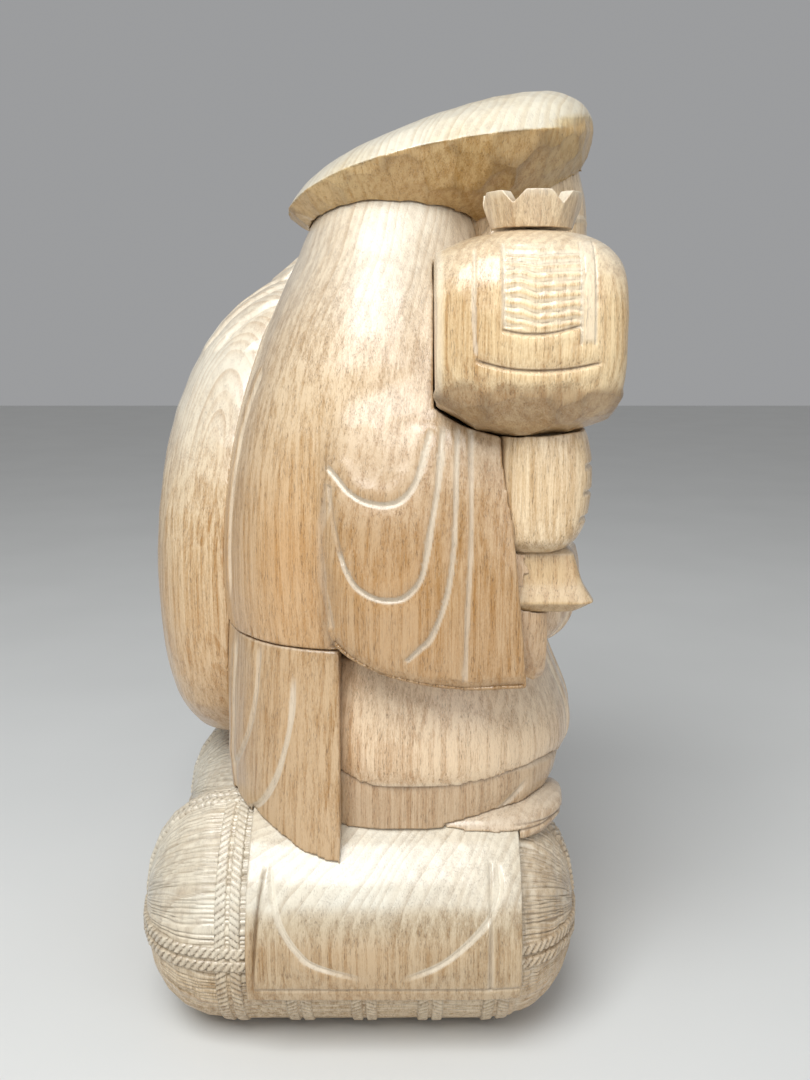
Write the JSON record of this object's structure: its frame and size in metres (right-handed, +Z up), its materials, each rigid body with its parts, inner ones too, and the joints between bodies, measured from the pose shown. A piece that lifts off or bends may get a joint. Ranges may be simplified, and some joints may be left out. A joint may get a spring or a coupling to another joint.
{
  "type": "carved wooden figurine",
  "caption": "Standing carved wooden figure with a flat cap, a raised mallet and a sack over the shoulder, on two straw bales.",
  "frame": {"origin": "on the table, under the middle of the base and of the overall width and depth", "axes": "+Z up, -Y the way the figure faces, -X its right hand with the mallet, +X its left side"},
  "size_m": [0.1777, 0.1546, 0.3019],
  "materials": {
    "base_wood": "satin, hand carved",
    "figure_wood": "satin, hand carved",
    "coat_wood": "satin, hand carved",
    "sack_wood": "satin, hand carved",
    "mallet_wood": "satin, hand carved",
    "hat_wood": "satin, hand carved",
    "skin_wood": "satin, hand carved"
  },
  "bodies": {
    "root": {"right_bale": "base_wood", "left_bale": "base_wood", "base_cloth": "base_wood", "right_shoe": "figure_wood", "left_shoe": "figure_wood", "right_trouser_leg": "figure_wood", "left_trouser_leg": "figure_wood", "tunic_skirt": "figure_wood", "tunic_body": "figure_wood", "right_cuff": "figure_wood", "left_cuff": "figure_wood", "robe_tail": "coat_wood", "coat": "coat_wood", "right_sleeve": "coat_wood", "left_sleeve": "coat_wood", "mallet_handle": "mallet_wood", "mallet_head": "mallet_wood", "mallet_crown": "mallet_wood", "right_hand": "skin_wood", "left_hand": "skin_wood", "head": "skin_wood", "right_ear": "skin_wood", "left_ear": "skin_wood", "sack": "sack_wood", "sack_neck": "sack_wood", "hat": "hat_wood"}
  },
  "joints": []
}
